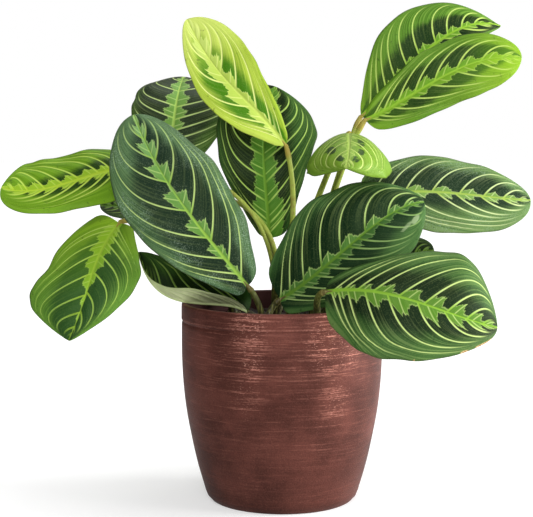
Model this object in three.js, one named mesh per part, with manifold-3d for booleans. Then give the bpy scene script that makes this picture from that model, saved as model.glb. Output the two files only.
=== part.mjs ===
// Potted prayer plant: a round-bellied pot filled with soil, eight leafy shoots and twenty-one leaf blades.
// Millimetres, +Z up. The origin is the centre of the pot's flat base, and the plant's front faces -Y.

import * as THREE from 'three';
import { mergeVertices } from 'three/addons/utils/BufferGeometryUtils.js';
import Module from 'manifold-3d';

const wasm = await Module();
wasm.setup();

// Driving dimensions of the pot: its height, outer radius at the rim and at the base, wall, floor, and the
// height of the plain band round the rim.
const POT_HEIGHT = 120;
const RIM_RADIUS = 60;
const BASE_RADIUS = 43.6;
const WALL = 3;
const FLOOR = 4;
const RIM_BAND = 10;
const POT_SIDES = 44;

// Outside of the pot below the rim band, from the base up: height and radius.
const POT_SIDE = [
  [3, 45.4],
  [10, 47.7],
  [25, 51.9],
  [40, 55.1],
  [55, 57.8],
  [70, 59.5],
  [87, 60.4],
];

// The soil's level in the pot and the height of its lumps.
const SOIL_TOP = 108;
const SOIL_LUMP = 0.9;

// Gap that touching pieces keep.
const GAP = 0.3;

// Thickness of a leaf blade, and how far its midrib stands out below it at the base.
const BLADE = 0.8;
const RIB = 0.9;

// Round stub of a shoot that stands in its hole in the soil: its depth, radius and sides.
const STUB_DEPTH = 16;
const STUB_RADIUS = 5;
const STUB_SIDES = 10;

// Leaf stalks: how far below the soil's top they start inside the stub, the share of its radius that a stalk
// loses on its way up, the extra share at the swollen joint below the blade, that joint's place and length as
// shares of the stalk, the radius of its upper end, and the sides and the steps of the tube.
const STALK_SINK = 3;
const STALK_TAPER = 0.32;
const JOINT_SWELL = 0.15;
const JOINT_PLACE = 0.93;
const JOINT_LENGTH = 0.035;
const STALK_END = 1.2;
const STALK_SIDES = 6;
const STALK_STEPS = [0, 0.1, 0.22, 0.36, 0.5, 0.64, 0.76, 0.86, 0.92, 0.965, 1];

// Cells of a blade along its length and on each side of the midrib.
const CELLS_ALONG = 12;
const CELLS_ACROSS = 3;

// One entry for each blade. spine: four points of the midrib, at 0, 1/3, 2/3 and the whole of its length.
// face: the way its upper side looks. left, right: half width at 15, 50 and 85 hundredths of the length,
// left being the left hand of someone who looks from the base to the tip at the upper side.
// fold: rise of each half at the midrib, in degrees. curl: further bend of each half out to its margin, in
// degrees, at the base and at the tip. wave: height of the margin's waves, their number and their two phases.
// lobe: how far the base runs back beside the stalk, left and right. heel: how blunt the base is.
const BLADES = {
  leaf_far_left: {
    spine: [[-93, 8, 200], [-117, 0, 195], [-142, -6, 188], [-167, -8, 189]],
    face: [0, -0.8, 0.6], left: [20, 18.5, 14], right: [18, 22, 20],
    fold: [0, 5], curl: [[-15, -15], [-20, -20]], wave: [0.7, 3, 0, 0.4], lobe: [2, 2], heel: 0.03,
  },
  leaf_low_left: {
    spine: [[-98, 2, 167], [-109, -16, 147], [-115, -30, 126], [-124, -37, 101.5]],
    face: [-0.2, -0.9, 0.4], left: [18, 28, 11.5], right: [22, 32, 33],
    fold: [5, 5], curl: [[-20, -20], [-20, -20]], wave: [0.7, 3, 0, 0.4], lobe: [5, 5], heel: 0.03,
  },
  leaf_front_left: {
    spine: [[-20, -33, 133], [-43, -32, 161], [-68, -20, 194], [-89, 4, 232]],
    face: [0.1, -1, 0.5], left: [16, 32, 24], right: [18, 31, 23],
    fold: [8, 10], curl: [[-20, -30], [-30, -30]], wave: [1.5, 3, 0, 0.3], lobe: [5, 1], heel: 0.03,
  },
  leaf_upper_left: {
    spine: [[-70, 25, 199], [-67, 34, 229], [-65, 48, 246], [-63, 70, 256]],
    face: [0, -0.9, 0.5], left: [21, 28, 19], right: [23, 36, 25],
    fold: [5, 5], curl: [[-20, -20], [-20, -20]], wave: [0.7, 3, 0, 0.4], lobe: [3, 3], heel: 0.03,
  },
  leaf_top_young: {
    spine: [[2, -8, 214], [-18, -8, 237], [-38, 0, 258], [-57, 10, 289]],
    face: [0, -1, 0.3], left: [11, 19.2, 11.5], right: [9, 19.5, 20],
    fold: [10, 10], curl: [[-10, -10], [-10, -10]], wave: [0.5, 3, 0, 0.4], lobe: [0, 0], heel: 0.008,
  },
  leaf_centre: {
    spine: [[-8, 6, 158], [-10, 6, 188], [-11, 12, 218], [-4, 24, 249]],
    face: [0, -1, 0.2], left: [12, 26, 26], right: [15.5, 27.5, 29],
    fold: [5, 5], curl: [[-10, -20], [-10, -20]], wave: [0.7, 3, 0, 0.4], lobe: [1, 1], heel: 0.03,
  },
  leaf_top_right_back: {
    spine: [[48, 14, 231], [74, 14, 258], [102, 18, 281], [133, 26, 286]],
    face: [0, -1, 0.3], left: [14, 28, 9], right: [10, 18, 10],
    fold: [5, 5], curl: [[-10, -10], [-10, -10]], wave: [0.7, 3, 0, 0.4], lobe: [0, 1], heel: 0.02,
  },
  leaf_top_right_front: {
    spine: [[50, 2, 229], [79, -4, 245], [109, -8, 261], [141, -6, 265]],
    face: [0, -1, 0.3], left: [12, 19, 14.5], right: [12.5, 18.3, 16.5],
    fold: [5, 5], curl: [[-10, -10], [-10, -10]], wave: [0.7, 3, 0, 0.4], lobe: [0, 0], heel: 0.015,
  },
  leaf_small_curled: {
    spine: [[40, 0, 221], [39, -22, 219], [38, -42, 212], [36, -55, 202]],
    face: [0, -0.3, 1], left: [26, 33, 22], right: [26, 33, 22],
    fold: [0, 0], curl: [[-75, -75], [-75, -75]], wave: [0.7, 3, 0, 0.4], lobe: [0, 0], heel: 0.02,
  },
  leaf_right: {
    spine: [[49, 10, 181], [82, 4, 186], [116, 0, 184], [149, 2, 181]],
    face: [0, -0.9, 0.5], left: [21, 24, 15], right: [18, 26, 19],
    fold: [5, 5], curl: [[-15, -15], [-15, -15]], wave: [0.7, 3, 0, 0.4], lobe: [2, 2], heel: 0.03,
  },
  leaf_front_centre: {
    spine: [[-1, -24, 124], [29, -34, 148], [56, -38, 171], [82, -32, 182]],
    face: [0, -1, 0.5], left: [29, 36, 17], right: [17, 28, 20],
    fold: [5, 5], curl: [[-20, -20], [-10, -10]], wave: [0.7, 3, 0, 0.4], lobe: [5, 4], heel: 0.05,
  },
  leaf_front_right: {
    spine: [[25, -52, 132], [57, -67, 133], [87, -74, 125], [120, -69, 114]],
    face: [0, -1, 0.6], left: [16, 34, 33.5], right: [29, 37, 19.5],
    fold: [5, 5], curl: [[-20, -20], [-20, -20]], wave: [0.7, 3, 0, 0.4], lobe: [2, 2], heel: 0.03,
  },
  leaf_rim_left: {
    spine: [[-20, -26, 117], [-43, -18, 120.5], [-69, -7, 124], [-86, -3, 150]],
    face: [0, -0.3, 1], left: [8, 14, 4], right: [16, 27, 21],
    fold: [60, 50], curl: [[0, 0], [0, 0]], wave: [0.4, 3, 0, 0.4], lobe: [0, 0], heel: 0.02,
  },
  leaf_left_behind: {
    spine: [[-63, 28, 170], [-78, 26, 172], [-95, 24, 175], [-112, 22, 176]],
    face: [0, -0.6, 0.8], left: [12, 16, 12], right: [12, 16, 12],
    fold: [10, 10], curl: [[0, 0], [0, 0]], wave: [0.4, 3, 0, 0.4], lobe: [1, 1], heel: 0.02,
  },
  leaf_right_behind: {
    spine: [[47, -5, 129], [62, 0, 137], [77, 4, 146], [92, 6, 150]],
    face: [0, -0.6, 0.8], left: [12, 16, 12], right: [12, 16, 12],
    fold: [10, 10], curl: [[0, 0], [0, 0]], wave: [0.4, 3, 0, 0.4], lobe: [1, 1], heel: 0.02,
  },
  leaf_back_left_low: {
    spine: [[-36, 54, 138], [-40, 78, 134], [-42, 99, 116], [-43, 111, 88]],
    face: [0, 0.6, 0.8], left: [15, 20, 14], right: [15, 20, 14],
    fold: [8, 8], curl: [[-15, -15], [-15, -15]], wave: [0.8, 3, 0, 0.4], lobe: [3, 3], heel: 0.03,
  },
  leaf_back_left_high: {
    spine: [[-45, 35, 165], [-57, 52, 170], [-69, 70, 165], [-80, 86, 150]],
    face: [-0.2, 0.3, 1], left: [15, 22, 16], right: [15, 22, 16],
    fold: [8, 8], curl: [[-15, -15], [-15, -15]], wave: [0.8, 3, 0, 0.4], lobe: [2, 2], heel: 0.03,
  },
  leaf_back_right_low: {
    spine: [[45, 50, 140], [57, 74, 138], [67, 96, 122], [76, 112, 95]],
    face: [0.3, 0.6, 0.8], left: [18, 26, 18], right: [18, 26, 18],
    fold: [8, 8], curl: [[-15, -15], [-15, -15]], wave: [0.8, 3, 0, 0.4], lobe: [3, 3], heel: 0.03,
  },
  leaf_back_right_high: {
    spine: [[30, 40, 160], [36, 64, 170], [42, 88, 173], [48, 110, 166]],
    face: [0, 0, 1], left: [14, 21, 14], right: [14, 21, 14],
    fold: [8, 8], curl: [[-15, -15], [-15, -15]], wave: [0.8, 3, 0, 0.4], lobe: [3, 3], heel: 0.03,
  },
  leaf_back_upright: {
    spine: [[0, 36, 182], [-2, 44, 201], [-3, 50, 220], [-1, 62, 238]],
    face: [0, 1, 0.4], left: [10, 16, 13], right: [10, 16, 13],
    fold: [8, 8], curl: [[-15, -15], [-15, -15]], wave: [0.8, 3, 0, 0.4], lobe: [2, 2], heel: 0.02,
  },
  leaf_back_centre: {
    spine: [[18, 66, 128], [17, 84, 122], [15, 98, 104], [13, 104, 78]],
    face: [0, 0.8, 0.6], left: [15, 22, 15], right: [15, 22, 15],
    fold: [8, 8], curl: [[-15, -15], [-15, -15]], wave: [0.8, 3, 0, 0.4], lobe: [2, 2], heel: 0.03,
  },
};

// One entry for each shoot. root: where it leaves the soil. stalks: the blade that each stalk carries, the two
// points that pull its curve, and its radius at the foot.
const SHOOTS = {
  shoot_front: {
    root: [-9, -27],
    stalks: [
      { blade: 'leaf_front_left', pull: [[-11, -30, 113], [-13, -33, 125]], radius: 2.3 },
      { blade: 'leaf_front_centre', pull: [[-9, -25, 112], [-8, -22, 118]], radius: 2.4 },
      { blade: 'leaf_rim_left', pull: [[-10, -28, 112], [-15, -27, 115]], radius: 1.8 },
    ],
  },
  shoot_front_right: {
    root: [22, -36],
    stalks: [
      { blade: 'leaf_front_right', pull: [[21, -38, 118], [17, -48, 130]], radius: 2.4 },
    ],
  },
  shoot_right: {
    root: [19, -6],
    stalks: [
      { blade: 'leaf_right', pull: [[18, 0, 140], [30, 12, 172]], radius: 2.4 },
      { blade: 'leaf_right_behind', pull: [[22, -6, 118], [38, -8, 123]], radius: 1.8 },
    ],
  },
  shoot_tall: {
    root: [5, 8],
    stalks: [
      { blade: 'leaf_top_right_back', pull: [[17, 9, 135], [38, 13, 214]], radius: 2.2 },
      { blade: 'leaf_top_right_front', pull: [[18, 4, 140], [37, 4.5, 212]], radius: 2.2 },
      { blade: 'leaf_small_curled', pull: [[4, 7, 150], [36, 15, 218]], radius: 2.2 },
    ],
  },
  shoot_centre: {
    root: [-6, 18],
    stalks: [
      { blade: 'leaf_top_young', pull: [[9, 4, 150], [9, -9, 190]], radius: 2 },
      { blade: 'leaf_centre', pull: [[0, 12, 128], [-4, 6, 146]], radius: 1.7 },
      { blade: 'leaf_upper_left', pull: [[14, -24, 198], [-58, 16, 178]], radius: 1.5 },
      { blade: 'leaf_back_upright', pull: [[8, 30, 130], [8, 34, 160]], radius: 2 },
      { blade: 'leaf_far_left', pull: [[4, -12, 174], [-36, -6, 206]], radius: 1.5 },
    ],
  },
  shoot_left: {
    root: [-28, 8],
    stalks: [
      { blade: 'leaf_low_left', pull: [[-34, 14, 150], [-70, 14, 175]], radius: 2.2 },
      { blade: 'leaf_left_behind', pull: [[-30, 16, 140], [-45, 28, 165]], radius: 1.8 },
    ],
  },
  shoot_back_left: {
    root: [-30, 32],
    stalks: [
      { blade: 'leaf_back_left_low', pull: [[-32, 36, 124], [-33, 42, 138]], radius: 2.2 },
      { blade: 'leaf_back_left_high', pull: [[-32, 30, 135], [-37, 25, 160]], radius: 2.2 },
    ],
  },
  shoot_back_right: {
    root: [22, 32],
    stalks: [
      { blade: 'leaf_back_right_low', pull: [[28, 36, 122], [38, 42, 136]], radius: 2.2 },
      { blade: 'leaf_back_right_high', pull: [[24, 32, 130], [27, 34, 150]], radius: 2.2 },
      { blade: 'leaf_back_centre', pull: [[21, 38, 122], [19, 52, 131]], radius: 2.2 },
    ],
  },
};

const vector = (p) => new THREE.Vector3(p[0], p[1], p[2]);
const radians = THREE.MathUtils.degToRad;

// Closed geometry from a list of points and a list of triangles.
function solid(points, triangles) {
  const geometry = new THREE.BufferGeometry();
  geometry.setAttribute('position', new THREE.Float32BufferAttribute(points.flatMap((p) => [p.x, p.y, p.z]), 3));
  geometry.setIndex(triangles.flat());
  return geometry;
}

function toManifold(geometry) {
  const bare = geometry.clone();
  bare.deleteAttribute('normal');
  bare.deleteAttribute('uv');
  const merged = mergeVertices(bare, 1e-4);
  return new wasm.Manifold(new wasm.Mesh({
    numProp: 3,
    vertProperties: merged.attributes.position.array,
    triVerts: new Uint32Array(merged.index.array),
  }));
}

function fromManifold(body) {
  const mesh = body.getMesh();
  const geometry = new THREE.BufferGeometry();
  geometry.setAttribute('position', new THREE.BufferAttribute(mesh.vertProperties, 3));
  geometry.setIndex(new THREE.BufferAttribute(mesh.triVerts, 1));
  return geometry;
}

// Point on a midrib: the cubic through its four points.
function spinePoint(spine, t) {
  const [a, b, c, d] = spine.map(vector);
  return a.multiplyScalar((1 - 3 * t) * (2 - 3 * t) * (1 - t) / 2)
    .addScaledVector(b, 9 * t * (2 - 3 * t) * (1 - t) / 2)
    .addScaledVector(c, 9 * t * (3 * t - 1) * (1 - t) / 2)
    .addScaledVector(d, t * (3 * t - 1) * (3 * t - 2) / 2);
}

function spineDirection(spine, t) {
  const step = 1e-4;
  return spinePoint(spine, t + step).sub(spinePoint(spine, t - step)).normalize();
}

// Share of the greatest width that the rounding of base and tip leaves at t.
function rounding(t, heel) {
  const share = Math.sin(Math.PI * (heel + (1 - heel) * t));
  return Math.max(Math.sqrt(Math.max(share, 0)), 0.04);
}

function halfWidth(t, stations, heel) {
  const low = stations[0] / rounding(0.15, heel);
  const middle = stations[1] / rounding(0.5, heel);
  const high = stations[2] / rounding(0.85, heel);
  const u = (t - 0.5) / 0.35;
  const width = middle + u * (high - low) / 2 + u * u * ((low + high) / 2 - middle);
  return rounding(t, heel) * Math.max(width, 2);
}

// Point of the blade's middle surface and its normal, at t along the midrib and v from -1 to 1 across.
function bladePoint(blade, t, v) {
  const side = v < 0 ? 0 : 1;
  const sign = v < 0 ? -1 : 1;
  const out = Math.abs(v);
  const along = spineDirection(blade.spine, t);
  const up = vector(blade.face).normalize();
  up.addScaledVector(along, -up.dot(along)).normalize();
  const across = new THREE.Vector3().crossVectors(along, up);
  const fold = radians(blade.fold[side]);
  const [curlBase, curlTip] = blade.curl[side];
  const curl = radians(curlBase + (curlTip - curlBase) * t) || 1e-4;
  const angle = fold + curl * out;
  const width = halfWidth(t, side === 0 ? blade.left : blade.right, blade.heel);
  const sideways = width * (Math.sin(angle) - Math.sin(fold)) / curl;
  const lift = width * (Math.cos(fold) - Math.cos(angle)) / curl;
  const [height, count] = blade.wave;
  const phase = blade.wave[2 + side];
  const ripple = height * out ** 2 * Math.sin(2 * Math.PI * (count * t + phase)) * Math.sqrt(Math.sin(Math.PI * t));
  const back = blade.lobe[side] * out ** 1.6 * (1 - t) ** 4;
  const normal = up.clone().multiplyScalar(Math.cos(angle)).addScaledVector(across, -sign * Math.sin(angle));
  const point = spinePoint(blade.spine, t)
    .addScaledVector(across, sign * sideways)
    .addScaledVector(up, lift)
    .addScaledVector(along, -back)
    .addScaledVector(normal, ripple || 0);
  return { point, normal };
}

// A blade as one thin closed solid: two faces split alike, joined round the margin.
function bladeGeometry(blade) {
  const across = 2 * CELLS_ACROSS + 1;
  const top = [];
  const bottom = [];
  for (let i = 0; i <= CELLS_ALONG; i += 1) {
    const even = i / CELLS_ALONG;
    const t = 0.6 * (1 - Math.cos(Math.PI * even)) / 2 + 0.4 * even;
    for (let j = -CELLS_ACROSS; j <= CELLS_ACROSS; j += 1) {
      const { point, normal } = bladePoint(blade, t, j / CELLS_ACROSS);
      const rib = j === 0 ? RIB * (1 - 0.7 * t) : 0;
      top.push(point.clone().addScaledVector(normal, BLADE / 2));
      bottom.push(point.clone().addScaledVector(normal, -BLADE / 2 - rib));
    }
  }
  const triangles = [];
  const below = top.length;
  const quad = (a, b, c, d) => triangles.push([a, b, c], [a, c, d]);
  for (let i = 0; i < CELLS_ALONG; i += 1) {
    for (let j = 0; j < across - 1; j += 1) {
      const a = i * across + j;
      const b = a + 1;
      const c = a + across + 1;
      const d = a + across;
      triangles.push([a, b, c], [a, c, d]);
      triangles.push([below + a, below + c, below + b], [below + a, below + d, below + c]);
    }
    const left = i * across;
    const right = left + across - 1;
    quad(left, left + across, below + left + across, below + left);
    quad(right, below + right, below + right + across, right + across);
  }
  for (let j = 0; j < across - 1; j += 1) {
    const last = CELLS_ALONG * across + j;
    quad(j, below + j, below + j + 1, j + 1);
    quad(last, last + 1, below + last + 1, below + last);
  }
  return solid([...top, ...bottom], triangles);
}

// A closed tube along a curve, with its radius given at each step.
function tubeGeometry(curve, steps, radiusAt, sides) {
  const frames = { points: [], normals: [], binormals: [] };
  let normal = new THREE.Vector3(1, 0, 0);
  for (const u of steps) {
    const along = curve.getTangent(u);
    normal = normal.clone().addScaledVector(along, -normal.dot(along)).normalize();
    frames.points.push(curve.getPoint(u));
    frames.normals.push(normal);
    frames.binormals.push(new THREE.Vector3().crossVectors(along, normal));
  }
  const points = [];
  const triangles = [];
  steps.forEach((u, i) => {
    for (let k = 0; k < sides; k += 1) {
      const turn = 2 * Math.PI * k / sides;
      const point = frames.points[i].clone();
      point.addScaledVector(frames.normals[i], radiusAt(u) * Math.cos(turn));
      point.addScaledVector(frames.binormals[i], radiusAt(u) * Math.sin(turn));
      points.push(point);
    }
  });
  for (let i = 0; i < steps.length - 1; i += 1) {
    for (let k = 0; k < sides; k += 1) {
      const a = i * sides + k;
      const b = i * sides + (k + 1) % sides;
      triangles.push([a, b, b + sides], [a, b + sides, a + sides]);
    }
  }
  const last = (steps.length - 1) * sides;
  for (let k = 1; k < sides - 1; k += 1) {
    triangles.push([0, k + 1, k]);
    triangles.push([last, last + k, last + k + 1]);
  }
  return solid(points, triangles);
}

// Stalk radius at u, from the foot (0) to the blade (1).
function stalkRadius(radius, u) {
  const slim = radius * (1 - STALK_TAPER * u);
  const joint = JOINT_SWELL * radius * Math.exp(-(((u - JOINT_PLACE) / JOINT_LENGTH) ** 2));
  return u === 1 ? STALK_END : slim + joint;
}

// Middle line of a stalk. It ends just short of its blade, further off where the blade's lobes run back.
function stalkCurve(root, stalk) {
  const blade = BLADES[stalk.blade];
  const seat = 2 * GAP + 0.1 * Math.max(...blade.lobe);
  const end = vector(blade.spine[0]).addScaledVector(spineDirection(blade.spine, 0), -seat);
  const foot = new THREE.Vector3(root[0], root[1], SOIL_TOP - STALK_SINK);
  return new THREE.CubicBezierCurve3(foot, vector(stalk.pull[0]), vector(stalk.pull[1]), end);
}

// Upright round prism about a shoot's root, from one height to another.
function stubGeometry(root, radius, low, high) {
  const stub = new THREE.CylinderGeometry(radius, radius, high - low, STUB_SIDES);
  stub.rotateX(Math.PI / 2);
  stub.translate(root[0], root[1], (low + high) / 2);
  return stub;
}

function shootGeometry(shoot) {
  let body = toManifold(stubGeometry(shoot.root, STUB_RADIUS, SOIL_TOP - STUB_DEPTH, SOIL_TOP + SOIL_LUMP));
  for (const stalk of shoot.stalks) {
    const curve = stalkCurve(shoot.root, stalk);
    const tube = tubeGeometry(curve, STALK_STEPS, (u) => stalkRadius(stalk.radius, u), STALK_SIDES);
    body = body.add(toManifold(tube));
  }
  return fromManifold(body);
}

// The pot's outside from the middle of its base to the top of the rim: radius and height. A shallow groove
// runs below the rim band.
function potOutside() {
  const bandFoot = POT_HEIGHT - RIM_BAND;
  return [
    [0, 0],
    [BASE_RADIUS - 1.4, 0],
    [BASE_RADIUS, 0.8],
    ...POT_SIDE.map(([height, radius]) => [radius, height]),
    [RIM_RADIUS + 0.4, bandFoot - 2.2],
    [RIM_RADIUS - 0.2, bandFoot - 1],
    [RIM_RADIUS + 0.6, bandFoot],
    [RIM_RADIUS + 0.5, POT_HEIGHT - 1.2],
    [RIM_RADIUS - 0.6, POT_HEIGHT],
  ];
}

// Radius of the pot's inside: WALL less than the outside, without the groove and the band.
function insideRadius(height) {
  const side = [[0, BASE_RADIUS], ...POT_SIDE, [POT_HEIGHT, RIM_RADIUS]];
  const above = side.findIndex(([level]) => level >= height);
  const [lowLevel, lowRadius] = side[Math.max(above - 1, 0)];
  const [highLevel, highRadius] = side[above];
  const share = highLevel > lowLevel ? (height - lowLevel) / (highLevel - lowLevel) : 0;
  return lowRadius + share * (highRadius - lowRadius) - WALL;
}

// Heights at which the inside bends, from the rim down.
const INSIDE_LEVELS = POT_SIDE.map(([height]) => height).filter((height) => height > FLOOR).toReversed();

// Radius of the flat floor inside the pot.
const FLOOR_RADIUS = insideRadius(FLOOR) - 1;

function potGeometry() {
  const profile = [
    ...potOutside(),
    [RIM_RADIUS - WALL + 0.4, POT_HEIGHT],
    [RIM_RADIUS - WALL, POT_HEIGHT - 0.8],
    ...INSIDE_LEVELS.map((level) => [insideRadius(level), level]),
    [FLOOR_RADIUS, FLOOR],
    [0, FLOOR],
  ];
  const lathe = new THREE.LatheGeometry(profile.map(([radius, height]) => new THREE.Vector2(radius, height)), POT_SIDES);
  return fromManifold(toManifold(lathe.rotateX(Math.PI / 2)));
}

// Soil: the pot's inside, GAP smaller all round, with a lumpy top and a plain hole for each shoot's stub.
function soilGeometry() {
  const edge = RIM_RADIUS - WALL - GAP;
  const profile = [
    [0, FLOOR + GAP],
    [FLOOR_RADIUS - GAP, FLOOR + GAP],
    ...INSIDE_LEVELS.toReversed().map((level) => [insideRadius(level) - GAP, level]),
    [edge, SOIL_TOP - SOIL_LUMP],
    ...[0.9, 0.72, 0.54, 0.36, 0.18].map((share) => [edge * share, SOIL_TOP]),
    [0, SOIL_TOP],
  ];
  const lathe = new THREE.LatheGeometry(profile.map(([radius, height]) => new THREE.Vector2(radius, height)), POT_SIDES);
  lathe.rotateX(Math.PI / 2);
  const position = lathe.attributes.position;
  for (let i = 0; i < position.count; i += 1) {
    if (position.getZ(i) > SOIL_TOP - SOIL_LUMP / 2) {
      const [x, y] = [position.getX(i), position.getY(i)];
      const lump = Math.sin(0.21 * x + 0.4) * Math.cos(0.24 * y) + 0.6 * Math.sin(0.47 * x - 0.39 * y);
      position.setZ(i, SOIL_TOP + SOIL_LUMP * lump);
    }
  }
  let body = toManifold(lathe);
  for (const shoot of Object.values(SHOOTS)) {
    const hole = stubGeometry(shoot.root, STUB_RADIUS + GAP, SOIL_TOP - STUB_DEPTH - GAP, POT_HEIGHT);
    body = body.subtract(toManifold(hole));
  }
  return fromManifold(body);
}

const potFinish = new THREE.MeshStandardMaterial({ color: 0x6b4038, roughness: 0.4, metalness: 0.6 });
const soilFinish = new THREE.MeshStandardMaterial({ color: 0x2b1d14, roughness: 1 });
const stalkFinish = new THREE.MeshStandardMaterial({ color: 0x82963a, roughness: 0.5 });
const darkLeaf = new THREE.MeshStandardMaterial({ color: 0x2f5040, roughness: 0.45 });
const youngLeaf = new THREE.MeshStandardMaterial({ color: 0x8fb83c, roughness: 0.45 });

// Blades that are still pale lime green.
const YOUNG = ['leaf_far_left', 'leaf_low_left', 'leaf_top_young', 'leaf_small_curled', 'leaf_top_right_front'];

const plant = new THREE.Group();

function place(name, geometry, material) {
  const mesh = new THREE.Mesh(geometry, material);
  mesh.name = name;
  plant.add(mesh);
}

place('pot', potGeometry(), potFinish);
place('soil', soilGeometry(), soilFinish);
for (const [name, shoot] of Object.entries(SHOOTS)) {
  place(name, shootGeometry(shoot), stalkFinish);
}
for (const [name, blade] of Object.entries(BLADES)) {
  place(name, bladeGeometry(blade), YOUNG.includes(name) ? youngLeaf : darkLeaf);
}

export default plant;
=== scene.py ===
"""Looks of a potted prayer plant: veined leaf blades, leaf stalks, soil and a brushed coppery pot.

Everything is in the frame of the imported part. Lengths in the tables are in millimetres, as in its source.
"""

import math

import bpy
import numpy as np
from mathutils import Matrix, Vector


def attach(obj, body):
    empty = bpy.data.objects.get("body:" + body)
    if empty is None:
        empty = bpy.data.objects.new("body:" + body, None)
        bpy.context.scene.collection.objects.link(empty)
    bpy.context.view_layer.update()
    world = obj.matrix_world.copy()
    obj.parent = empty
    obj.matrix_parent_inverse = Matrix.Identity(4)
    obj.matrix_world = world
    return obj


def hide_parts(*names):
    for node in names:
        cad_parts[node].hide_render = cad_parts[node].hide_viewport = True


MM = 0.001

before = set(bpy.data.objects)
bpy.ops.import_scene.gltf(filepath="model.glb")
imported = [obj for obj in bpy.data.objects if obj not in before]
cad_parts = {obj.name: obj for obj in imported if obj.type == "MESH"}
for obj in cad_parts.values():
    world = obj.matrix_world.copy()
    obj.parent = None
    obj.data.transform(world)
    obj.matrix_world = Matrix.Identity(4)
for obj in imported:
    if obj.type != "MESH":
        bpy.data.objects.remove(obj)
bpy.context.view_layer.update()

# The pot and the soil, as the part has them. POT_SIDE gives heights and the outside's radius there.
RIM_RADIUS = 60
WALL = 3
FLOOR = 4
POT_SIDE = [(0, 43.6), (3, 45.4), (10, 47.7), (25, 51.9), (40, 55.1), (55, 57.8), (70, 59.5), (87, 60.4),
            (105, 60.45)]
SOIL_TOP = 108
SOIL_LUMP = 0.9
GAP = 0.3

# The stalks, as the part has them.
STALK_SINK = 3
STALK_TAPER = 0.32
JOINT_SWELL = 0.15
JOINT_PLACE = 0.93
JOINT_LENGTH = 0.035


def pair(value):
    """The left and the right half's value, from one value for both or from two."""
    return value if isinstance(value, tuple) else (value, value)


def leaf(
    spine, face, left, right=None, fold=5, curl=-20, tip_curl=None, wave=0.7, shift=0.4, lobe=2, heel=0.03
):
    """A blade as the part has it: its spine, the way that its upper side looks, and both halves' widths.

    wave is the height of the edge's waves, and shift how far the right half's are shifted.
    """
    return {
        "spine": spine, "face": face, "half": (left, right or left), "fold": pair(fold),
        "curl": list(zip(pair(curl), pair(curl if tip_curl is None else tip_curl))),
        "wave": wave, "shift": (0, shift), "lobe": pair(lobe), "heel": heel,
    }


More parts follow.
